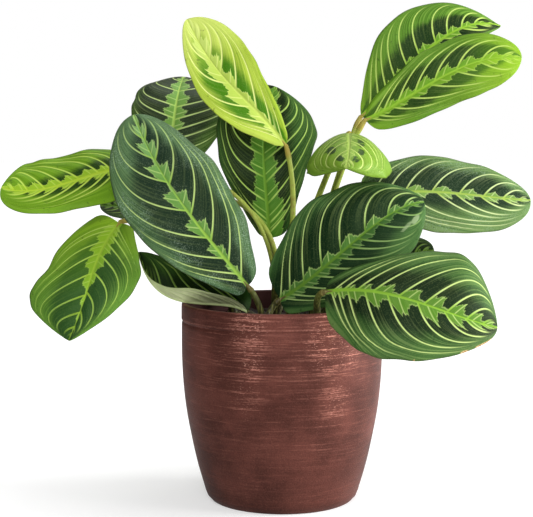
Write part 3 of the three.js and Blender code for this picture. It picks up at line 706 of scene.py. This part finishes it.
def soil_height(x, y):
    """Height of the soil's top: the part's own lumps with finer ones on them."""
    lump = np.sin(0.21 * x + 0.4) * np.cos(0.24 * y) + 0.6 * np.sin(0.47 * x - 0.39 * y)
    fine = np.sin(1.1 * x + 0.7 * y) * np.sin(0.9 * y - 0.5 * x + 1)
    finer = np.sin(2.1 * x + 2.6) * np.cos(1.9 * y)
    return SOIL_TOP + SOIL_LUMP * lump + FINE_LUMP * (fine + 0.7 * finer)


def crumb_shape(draw):
    """A lumpy grain about 2 across: rings of points, each pushed in or out."""
    points = []
    for i in range(CRUMB_RINGS):
        tilt = np.pi * (i + 0.5) / CRUMB_RINGS
        for k in range(CRUMB_SIDES):
            turn = 2 * np.pi * (k + 0.5 * (i % 2)) / CRUMB_SIDES
            way = math.sin(tilt) * math.cos(turn), math.sin(tilt) * math.sin(turn), -math.cos(tilt)
            points.append(draw.uniform(0.75, 1.1) * np.array(way))
    last = (CRUMB_RINGS - 1) * CRUMB_SIDES
    ends = [tuple(range(CRUMB_SIDES - 1, -1, -1)), tuple(range(last, last + CRUMB_SIDES))]
    return np.array(points), ring_faces(CRUMB_RINGS, CRUMB_SIDES) + ends


def make_soil(material):
    edge = RIM_RADIUS - WALL - GAP
    walls = [(side_radius(height) - WALL - GAP, height) for height in (10, 25, 40, 55, 70, 87, 98, 104)]
    rings = [(edge * share, SOIL_TOP) for share in np.linspace(1, 0.02, SOIL_RINGS)]
    rings[0] = (edge, SOIL_TOP - SOIL_LUMP)
    profile = [(0, FLOOR + GAP), (walls[0][0] - 4, FLOOR + GAP)] + walls + rings + [(0, SOIL_TOP)]
    points, faces, _ = lathe(profile, SOIL_TURNS)
    top = points[:, 2] > SOIL_TOP - SOIL_LUMP / 2
    points[top, 2] = soil_height(points[top, 0], points[top, 1])
    draw = np.random.default_rng(CRUMB_SEED)
    parts = [(points, faces)]
    for _ in range(CRUMBS):
        turn, away = draw.uniform(0, 2 * np.pi), edge * math.sqrt(draw.uniform(0, 0.94))
        x, y = away * math.cos(turn), away * math.sin(turn)
        size = draw.uniform(0.6, 2.2) * np.array([draw.uniform(0.7, 1.6), 1, draw.uniform(0.4, 0.8)])
        if away + size.max() > edge:
            continue
        crumb, sides = crumb_shape(draw)
        angle = draw.uniform(0, 2 * np.pi)
        cos, sin = math.cos(angle), math.sin(angle)
        spin = np.array([[cos, -sin, 0], [sin, cos, 0], [0, 0, 1]])
        parts.append(((crumb * size) @ spin.T + (x, y, soil_height(x, y) + 0.2 * size[2]), sides))
    piece = new_mesh("potting_soil", *join(parts))
    finish_piece(piece, "soil", "soil", material)


def shader_colour(value):
    """Red, green and blue out of 255 in the shader's own scale. Anything else stays as it is."""
    if not isinstance(value, tuple) or len(value) != 3:
        return value
    return tuple(x / 255 / 12.92 if x <= 10.3 else ((x / 255 + 0.055) / 1.055) ** 2.4 for x in value) + (1,)


class Result:
    """What a node gives. It can be added, subtracted, multiplied and divided, which makes further nodes."""

    def __init__(self, nodes, socket):
        self.nodes = nodes
        self.socket = socket

    def __add__(self, other):
        return self.nodes.math("ADD", self, other)

    def __sub__(self, other):
        return self.nodes.math("SUBTRACT", self, other)

    def __mul__(self, other):
        return self.nodes.math("MULTIPLY", self, other)

    def __truediv__(self, other):
        return self.nodes.math("DIVIDE", self, other)

    def __abs__(self):
        return self.nodes.math("ABSOLUTE", self)


class Nodes:
    """A node tree that is made by short calls, whose numbers and colours may be other nodes' results."""

    def __init__(self, tree):
        self.tree = tree

    def put(self, socket, value):
        if isinstance(value, Result):
            self.tree.links.new(value.socket, socket)
        else:
            socket.default_value = value

    def node(self, kind, inputs, output=0, **settings):
        """An output of a new node, whose inputs are given by name or number."""
        node = self.tree.nodes.new("ShaderNode" + kind)
        for name, value in settings.items():
            setattr(node, name, value)
        for name, value in inputs.items():
            self.put(node.inputs[name], value)
        return Result(self, node.outputs[output])

    def math(self, operation, *values):
        return self.node("Math", dict(enumerate(values)), operation=operation)

    def step(self, value, low, high, first=0, last=1, way="SMOOTHSTEP"):
        """Goes from first to last while value goes from low to high."""
        inputs = {"Value": value, "From Min": low, "From Max": high, "To Min": first, "To Max": last}
        return self.node("MapRange", inputs, "Result", interpolation_type=way)

    def mix(self, share, first, second):
        inputs = {0: share, 6: shader_colour(first), 7: shader_colour(second)}
        return self.node("Mix", inputs, 2, data_type="RGBA")

    def cover(self, colour, *coats):
        """The colour with coats over it one after another, each a share and a colour of its own."""
        for share, coat in coats:
            colour = self.mix(share, colour, coat)
        return colour

    def place(self, scale=(1, 1, 1)):
        """The point on the piece in metres, stretched by scale."""
        return self.node("Mapping", {"Vector": self.node("TexCoord", {}, "Object"), "Scale": scale})

    def noise(self, scale, detail=3, rough=0.55, vector=None):
        """Noise over the piece, or over the vector that is given."""
        inputs = {"Vector": vector or self.place(), "Scale": scale, "Detail": detail, "Roughness": rough}
        return self.node("TexNoise", inputs, "Fac")

    def camera_ray(self):
        """1 for what the camera sees at once, 0 for light."""
        return self.node("LightPath", {}, "Is Camera Ray")


class Look(Nodes):
    """A material with its nodes."""

    def __init__(self, name):
        self.material = bpy.data.materials.new(name)
        self.material.use_nodes = True
        super().__init__(self.material.node_tree)
        self.shader = self.tree.nodes["Principled BSDF"]

    def row(self, name):
        return self.node("Attribute", {}, "Fac", attribute_name=name)

    def streaks(self, along, out=0, detail=3):
        """Noise that runs with the side veins."""
        return self.noise(1, detail, vector=self.node("CombineXYZ", {0: along, 1: out}))

    def curve(self, value, points):
        node = self.tree.nodes.new("ShaderNodeFloatCurve")
        line = node.mapping.curves[0].points
        line[0].location, line[-1].location = points[0], points[-1]
        for point in points[1:-1]:
            line.new(*point)
        for point in line:
            point.handle_type = "VECTOR"
        node.mapping.update()
        self.put(node.inputs["Value"], value)
        return Result(self, node.outputs[0])

    def bump(self, height, depth):
        self.set(Normal=self.node("Bump", {"Strength": 1, "Distance": depth, "Height": height}))

    def set(self, **values):
        for name, value in values.items():
            self.put(self.shader.inputs[name.replace("_", " ")], value)
        return self.material


# How far the light pattern beside the midrib reaches, from its notch (0) to its lobe (1), on the way from a
# side vein (0) to the next (1), and where on that way the lobe's point is.
LOBES = [
    (0, 0.36), (0.06, 0.42), (0.09, 0.62), (0.2, 0.66), (0.24, 0.88), (0.3, 0.82), (0.37, 1), (0.43, 0.76),
    (0.49, 0.7), (0.53, 0.42), (0.62, 0.32), (0.67, 0.08), (0.85, 0.02), (1, 0),
]
LOBE_POINT = 0.36
# Colours of single marks, of which the pale one is a painted highlight on a fold, of pale dust with painted
# sheen and of the blade's very edge, and how deep its fibres and veins are in metres.
SPOT = (24, 44, 26)
DRY = (206, 182, 132)
DRIEST = (166, 124, 80)
FOLD_HIGHLIGHT = (158, 178, 132)
DUST_AND_SHEEN = (168, 190, 172)
EDGE = (60, 62, 40)
LEAF_RELIEF = 0.00025


def vein_distance(look, field, gap):
    """Distance in millimetres from the nearest side vein."""
    return abs(field - look.math("ROUND", field)) * gap


def leaf_look(name, margin, dark, feather, midrib, vein, young=None, frost=0, soft=0.2, lines=0.22, fade=1):
    """Upper side of a blade: dark patches between pale side veins, and a light lobed pattern by the midrib.

    young: the colours of the margin, the patches, the pattern and the veins where the blade is young. frost:
    how much pale dust with painted sheen it has. soft: how softly the patches end. lines: how strong the fine
    pale lines are. fade: how much of the midrib is left at the tip, where the side veins lose half as much.
    """
    look = Look("leaf_" + name)
    step, mix = look.step, look.mix
    field, gap, out, mid, along = (look.row(row) for row in ("vein", "gap", "out", "mid", "along"))
    lobe, notch, reach, youth = (look.row(row) for row in PROFILES)
    fibre = look.streaks(field * 22, out * 3)
    thread = look.streaks(field * 13, out * 0.8)
    tooth = look.streaks(field * 7, detail=2)
    cloud = look.noise(60, 4)
    grain = look.noise(1400, 2)
    blotch = look.noise(330)
    if young:
        tints = zip((margin, dark, feather, vein), young)
        margin, dark, feather, vein = (mix(youth, grown, fresh) for grown, fresh in tints)

    # Dark patches with a ragged outer end, fine pale and dark lines, grains and dark spots.
    painted_highlight_or_patch_end = out + (cloud - 0.5) * 0.35 + (fibre - 0.5) * 0.25 - reach
    colour = mix(step(painted_highlight_or_patch_end, -soft, soft, 1, 0), margin, dark)
    pale = step(thread, 0.46, 0.62) * step(out, 0.1, 0.8, lines * 0.15, lines)
    colour = mix(pale, colour, mix(0.6, colour, vein))
    thin = step(thread, 0.52, 0.38) * step(out, 0.15, 0.75, 0.12, 0.42)
    ragged = look.row("spot") + (blotch - 0.5) * 2.6
    colour = look.cover(
        colour,
        (thin, dark),
        (step(grain, 0.5, 0.75, 0, 0.07), vein),
        (step(ragged, 0.3, 0.8) * 0.85, SPOT),
    )

    # The light pattern, with a branch of the vein to each lobe's point and a lighter edge.
    turn = look.math("FRACT", field)
    limit = notch + look.curve(turn, LOBES) * (lobe - notch)
    limit = limit * (tooth * 0.9 + 0.4) + (fibre - 0.5) * 0.03
    inside = limit - out
    pattern = mix(step(fibre, 0.35, 0.7, 0, 0.35), feather, mix(0.3, feather, vein))
    pattern = look.cover(
        pattern,
        (step(cloud, 0.4, 0.65, 0, 0.25), mix(0.5, pattern, margin)),
        (step(abs(turn - LOBE_POINT) * gap, 0.15, 0.5, 0.6, 0), vein),
        (step(inside, 0.006, 0.026, 0.5, 0), vein),
    )
    colour = mix(step(inside, -0.012, 0.014), colour, pattern)

    # Side veins, which get thinner outwards and end before the edge, and the midrib.
    ridge = step(vein_distance(look, field, gap) / step(out, 0, 1, 0.55, 0.3), 0.6, 1.4, 1, 0)
    ridge = ridge * step(out, 0.8, 0.97, 1, 0) * step(gap, 1.2, 3.2)
    ridge = ridge * step(along, 0.92, 0.99, 1, 0)
    if fade < 1:
        ridge = ridge * step(along, 0.35, 0.85, 1, 0.5 + 0.5 * fade)
    spine = step(mid, step(along, 0, 1, 0.6, 0.15), step(along, 0, 1, 1.5, 0.6), 1, 0)
    colour = look.cover(
        colour,
        (ridge, mix(step(out, 0.02, 0.3), midrib, vein)),
        (spine * step(along, 0.35, 0.75, 1, fade), midrib),
    )

    # Pale dust speckles with painted sheen, more of them towards the edge.
    if frost:
        dust_and_sheen_mask = step(grain, 0.45, 0.7) * step(cloud, 0.4, 0.6) * step(out, 0.35, 0.8, 0.15, 1)
        colour = mix(dust_and_sheen_mask * frost, colour, DUST_AND_SHEEN)
    dried = look.row("blemish") + (cloud - 0.5) * 1.2
    # The pale marks are a painted highlight on a fold.
    fold_highlight = look.row("pale") + (fibre - 0.5) * 0.8
    colour = look.cover(
        colour,
        (step(out, 0.97, 1, 0, 0.5), EDGE),
        (step(dried, 0.35, 0.6), mix(step(grain, 0.4, 0.6), DRY, DRIEST)),
        (step(fold_highlight, 0.3, 0.8, 0, 0.7), FOLD_HIGHLIGHT),
    )
    sunk = look.math("MAXIMUM", ridge, spine)
    look.bump(sunk * -0.8 + fibre * 0.5 + thread * 0.3 + grain * 0.25, LEAF_RELIEF)
    look.set(Specular_IOR_Level=0.15, Specular_Tint=(0.7, 1, 0.55, 1))
    return look.set(Base_Color=colour, Roughness=cloud * 0.16 + 0.34)


def underside_look(name, colour, vein):
    """Lower side of a blade: pale, with its veins standing out."""
    look = Look("leaf_underside" + name)
    field, gap, out, mid = (look.row(row) for row in ("vein", "gap", "out", "mid"))
    cloud = look.noise(90, 4)
    streak = look.streaks(field * 22, out * 3)
    ridge = look.step(vein_distance(look, field, gap), 0.3, 0.7, 1, 0)
    lines = look.math("MAXIMUM", ridge, look.step(mid, 0.8, 1.4, 1, 0))
    darker = tuple(x * 0.82 for x in colour)
    base = look.mix(look.step(cloud, 0.3, 0.7), colour, darker)
    base = look.cover(base, (look.step(streak, 0.35, 0.7, 0, 0.25), vein), (lines, vein))
    look.bump(streak * 0.5 + lines, LEAF_RELIEF)
    return look.set(Base_Color=base, Roughness=cloud * 0.15 + 0.5)


def stalk_look():
    """Yellow-green with brown clouds and joints and pale fibres, and dark near the soil."""
    look = Look("leaf_stalk")
    cloud = look.noise(140, 4)
    fibre = look.noise(1, 2, vector=look.place((900, 900, 60)))
    low = look.step(look.node("SeparateXYZ", {0: look.place()}, "Z") + cloud * 0.02, 0.122, 0.18)
    colour = look.mix(look.step(cloud, 0.48, 0.66, 0, 0.5), (152, 168, 66), (128, 96, 50))
    colour = look.mix(look.step(look.row("along"), 0.84, 0.9), colour, (156, 140, 56))
    colour = look.mix(low, (46, 42, 24), colour)
    colour = look.mix(look.step(fibre, 0.45, 0.75, 0, 0.5), colour, look.mix(0.5, colour, (212, 214, 120)))
    look.bump(fibre + cloud * 0.5, 0.0002)
    return look.set(Base_Color=colour, Roughness=cloud * 0.2 + 0.35, Specular_IOR_Level=0.3)


# Where highlights are painted on the glaze, as bright places where the lamps would be reflected: the place
# and how far it reaches, in millimetres, and how strongly.
PAINTED_HIGHLIGHTS = [
    (-18, -56, 110, 18, 0.9), (-17, -57, 92, 12, 0.75), (26, -54, 105, 21, 0.95), (38, -46, 98, 15, 0.9),
    (31, -51, 70, 17, 0.55), (-20, -55, 73, 17, 0.42), (10, -59, 90, 14, 0.25), (22, -51, 48, 14, 0.2),
    (56, 18, 98, 24, 0.8), (50, 30, 66, 18, 0.4), (-56, 14, 96, 22, 0.7), (-22, 55, 104, 24, 0.9),
    (-36, 42, 70, 20, 0.45), (24, 55, 96, 20, 0.7),
]
# How much lower a place with a painted highlight is than it is wide.
HIGHLIGHT_SQUEEZE = 0.65
# Height of the band's lower lip, along which a thin highlight is painted.
LIP = 110.8


def painted_highlight_places(look):
    """How strongly highlights are painted on the glaze: strongest at the places above, and gone where their
    reach ends.
    """
    squeezed = look.place((1, 1, HIGHLIGHT_SQUEEZE))
    painted_highlight_or_patch_end = 0
    for x, y, z, reach, strength in PAINTED_HIGHLIGHTS:
        centre = (x * MM, y * MM, z * HIGHLIGHT_SQUEEZE * MM)
        away = look.node("VectorMath", {0: squeezed, 1: centre}, "Value", operation="DISTANCE")
        painted_highlight_or_patch_end = look.math("MAXIMUM", painted_highlight_or_patch_end, look.step(away, 0.1 * reach * MM, reach * MM, strength, 0))
    return painted_highlight_or_patch_end


def pot_look():
    """Dark coppery glaze with faint level brush strokes, darker towards the bottom, and painted highlights: a
    lighter tone, bright streaks and glints where the lamps would be reflected, and a thin line along the lip.
    """
    look = Look("brushed_copper_glaze")
    step, mix = look.step, look.mix
    height = look.node("SeparateXYZ", {0: look.place()}, "Z")
    stroke = look.noise(1, 4, 0.6, look.place((20, 20, 420)))
    thin = look.noise(1, vector=look.place((60, 60, 1700)))
    fleck = look.noise(1, 3, 0.65, look.place((520, 520, 1500)))
    grain = look.noise(1300, 3, 0.7)
    cloud = look.noise(1, 4, vector=look.place((30, 30, 40)))
    painted_highlight_or_patch_end = painted_highlight_places(look)
    # The bright streaks are brush strokes with a painted highlight on them, stronger higher up and where
    # highlights are painted. The glints are painted highlight grains in those places.
    line = step(stroke, 0.46, 0.58) * step(thin, 0.48, 0.6) * step(fleck, 0.36, 0.5)
    line = line * look.math("MAXIMUM", step(height, 0.02, 0.11, 0.04, 0.16), painted_highlight_or_patch_end)
    glint = step(fleck, 0.55, 0.64) * step(grain, 0.45, 0.6) * step(painted_highlight_or_patch_end, 0.1, 0.9, 0.03, 0.75)
    # A thin painted highlight along the band's lower lip, broken up, and stronger where other highlights are
    # painted.
    lip_highlight = step(abs(height - LIP * MM), 0.0002, 0.0007, 0.5, 0)
    lip_highlight = lip_highlight * step(fleck, 0.35, 0.6, 0.1, 1) * step(painted_highlight_or_patch_end, 0, 0.5, 0.4, 1)
    colour = look.cover(
        mix(step(cloud, 0.35, 0.65), (78, 43, 36), (109, 63, 54)),
        (step(height, 0.01, 0.08, 0.3, 0), (44, 24, 20)),
        (step(stroke, 0.42, 0.66, 0, 0.16), (112, 62, 53)),
        (step(thin, 0.5, 0.3, 0, 0.2), (48, 26, 22)),
        (step(grain, 0.5, 0.3, 0, 0.35), (44, 24, 21)),
        (step(grain, 0.5, 0.7, 0, 0.3), (124, 72, 61)),
        # The next four coats are painted highlight: a lighter tone, bright streaks, glints and the line along
        # the lip.
        (painted_highlight_or_patch_end * 0.3, (130, 78, 67)),
        (line, (216, 146, 128)),
        (glint, (232, 170, 152)),
        (lip_highlight, (190, 130, 114)),
        (look.row("inside"), mix(grain, (44, 26, 26), (76, 44, 42))),
    )
    look.bump(thin * 0.4 + (grain + fleck), 0.00012)
    return look.set(Base_Color=colour, Metallic=0.2, Roughness=stroke * 0.15 + 0.4, Specular_IOR_Level=0.1)


def soil_look():
    look = Look("potting_soil")
    coarse = look.noise(260, 5, 0.7)
    fine = look.noise(1500, 3, 0.7)
    colour = look.mix(look.step(coarse, 0.35, 0.7), (18, 13, 11), (56, 40, 31))
    colour = look.mix(look.step(fine, 0.62, 0.75, 0, 0.4), colour, (106, 85, 66))
    look.bump(coarse + fine * 0.5, 0.0012)
    return look.set(Base_Color=colour, Roughness=fine * 0.1 + 0.85)


MATURE = leaf_look("mature", (66, 102, 48), (14, 32, 16), (84, 128, 38), (132, 176, 56), (190, 212, 128))
SHADED = leaf_look(
    "shaded", (46, 82, 32), (5, 22, 4), (70, 120, 32), (104, 146, 46), (166, 198, 96), lines=0.18)
CREASED = leaf_look(
    "creased", (72, 112, 58), (14, 39, 19), (74, 120, 48), (96, 136, 46), (190, 216, 130),
    [(70, 108, 54), (18, 44, 22), (58, 98, 42), (130, 162, 94)])
DIM = leaf_look("dim", (40, 72, 22), (10, 30, 6), (56, 96, 26), (96, 130, 46), (126, 156, 70))
GREY = leaf_look("greyish", (68, 98, 38), (30, 42, 26), (98, 142, 58), (154, 186, 88), (178, 200, 124))
FROSTED = leaf_look(
    "frosted", (72, 104, 66), (16, 34, 24), (88, 134, 54), (140, 178, 70), (178, 202, 120),
    [(84, 114, 76), (26, 46, 34), (110, 148, 92), (156, 184, 112)], frost=0.4, lines=0.17, fade=0.55)
SILVERY = leaf_look(
    "silvery", (98, 132, 72), (28, 48, 32), (118, 158, 70), (164, 192, 86), (206, 224, 156), frost=0.3)
YOUNG_COLOURS = [(138, 178, 36), (84, 130, 30), (142, 184, 38), (178, 208, 90)]
FRESH = leaf_look(
    "fresh", (86, 134, 38), (9, 36, 12), (98, 150, 34), (144, 188, 56), (192, 218, 112),
    YOUNG_COLOURS, soft=0.1)
GREEN = leaf_look(
    "green", (98, 145, 50), (42, 76, 34), (126, 168, 42), (154, 190, 58), (164, 200, 88),
    YOUNG_COLOURS, soft=0.22, fade=0.35)
LIME = leaf_look(
    "lime", (103, 147, 22), (25, 55, 8), (138, 174, 36), (166, 194, 52), (176, 202, 84), soft=0.14)
SMALL = leaf_look(
    "small", (110, 144, 44), (84, 122, 30), (126, 158, 54), (156, 180, 84), (174, 194, 104), soft=0.16)
PALE = leaf_look(
    "pale", (172, 196, 62), (64, 122, 6), (176, 202, 84), (192, 212, 98), (222, 234, 136),
    [(206, 222, 112), (168, 200, 70), (206, 224, 122), (222, 234, 136)], soft=0.16)
UNDER = underside_look("", (142, 156, 108), (124, 142, 88))
UNDER_YOUNG = underside_look("_young", (156, 180, 80), (146, 172, 70))
# A pale underside made lighter still with painted light, for a folded band that faces down into shade.
UNDER_PALE_PAINTED_LIGHT = underside_look("_pale_painted_light", (218, 228, 172), (196, 212, 146))

# Each blade's upper look and underside, where they aren't those of a full-grown leaf.
BLADE_LOOKS = {
    "far_left": (LIME, UNDER_YOUNG),
    "low_left": (GREEN, UNDER_YOUNG),
    "top_young": (PALE, UNDER_YOUNG),
    "small_curled": (SMALL, UNDER_YOUNG),
    "top_right_front": (FRESH, UNDER_YOUNG),
    "top_right_back": (FRESH, UNDER),
    "front_left": (FROSTED, UNDER),
    "front_centre": (CREASED, UNDER),
    "centre": (SHADED, UNDER),
    "upper_left": (GREY, UNDER),
    "right": (SILVERY, UNDER),
    "rim_left": (DIM, UNDER_PALE_PAINTED_LIGHT),
    "left_behind": (DIM, UNDER),
    "right_behind": (DIM, UNDER),
}

for name in BLADES:
    upper, under = BLADE_LOOKS.get(name, (MATURE, UNDER))
    make_blade(name, "leaf_young" if under is UNDER_YOUNG else "leaf_dark", upper, under)
stalk_material = stalk_look()
for name in SHOOTS:
    make_shoot(name, stalk_material)
make_pot(pot_look())
make_soil(soil_look())

# Radius of the floor disc in millimetres, and the corners of its edge.
STAGE_RADIUS = 6000
STAGE_CORNERS = 96
CENTRE = (0, 0, 0.15)


def make_stage():
    """A white floor disc far wider than the view, that fades into the white behind it."""
    turn = 2 * np.pi * np.arange(STAGE_CORNERS) / STAGE_CORNERS
    points = [(STAGE_RADIUS * math.cos(a), STAGE_RADIUS * math.sin(a), 0) for a in turn]
    floor = new_mesh("floor", points, [tuple(range(STAGE_CORNERS))])
    look = Look("white_floor")
    away = look.node("VectorMath", {0: look.place()}, "Value", operation="LENGTH")
    glow = look.step(away, 0.08, 0.5, 0.5, 1)
    sideways = look.step(look.node("SeparateXYZ", {0: look.place()}, "X"), -0.5, 0.6, 0.1, 1)
    shine = glow * look.math("MAXIMUM", sideways, look.camera_ray())
    look.set(Base_Color=look.mix(glow, (0.9, 0.9, 0.9, 1), (0.3, 0.3, 0.3, 1)), Roughness=0.8)
    look.set(Specular_IOR_Level=0, Emission_Color=(1, 1, 1, 1), Emission_Strength=shine)
    floor.data.materials.append(look.material)


def add_light(name, place, target, size, power):
    light = bpy.data.lights.new(name, "AREA")
    light.shape = "RECTANGLE"
    light.size, light.size_y = size
    light.energy = power
    lamp = bpy.data.objects.new(name, light)
    bpy.context.scene.collection.objects.link(lamp)
    lamp.location = place
    way = Vector(target) - Vector(place)
    lamp.rotation_euler = way.to_track_quat("-Z", "Y").to_euler()


make_stage()
scene = bpy.context.scene
scene.view_settings.view_transform = "Standard"
# The backdrop is pure white to the camera. It lights the plant less than that, and more from the right.
scene.world = bpy.data.worlds.new("studio")
scene.world.use_nodes = True
backdrop = Nodes(scene.world.node_tree)
sky = backdrop.tree.nodes["Background"].inputs
to_the_right = backdrop.node("SeparateXYZ", {0: backdrop.node("TexCoord", {}, "Generated")}, "X")
dim = backdrop.step(to_the_right, -0.8, 1, 0.05, 0.66, "LINEAR")
backdrop.put(sky["Color"], (1, 1, 1, 1))
backdrop.put(sky["Strength"], backdrop.step(backdrop.camera_ray(), 0, 1, dim, 1, "LINEAR"))

add_light("key", (-0.2, -1.4, 0.95), CENTRE, (0.7, 0.9), 13)
add_light("fill", (1.35, -0.5, 0.6), CENTRE, (0.5, 0.9), 13)
add_light("side", (1.5, 0.1, 0.4), (0, 0, 0.08), (0.5, 0.9), 26)
add_light("top", (0.1, 0.4, 1.5), CENTRE, (0.9, 0.9), 8)

# The camera stands where the photograph was taken from: 0.9 m in front of the pot and 234 mm above its base,
# turned 5.59 degrees down and 0.594 degrees to the left.
camera = bpy.data.cameras.new("camera")
camera.lens = 101.5
camera.sensor_width = 36
camera_object = bpy.data.objects.new("camera", camera)
scene.collection.objects.link(camera_object)
camera_object.location = (0, -0.9, 0.234)
camera_object.rotation_euler = (math.radians(90 - 5.59), 0, math.radians(0.594))
scene.camera = camera_object
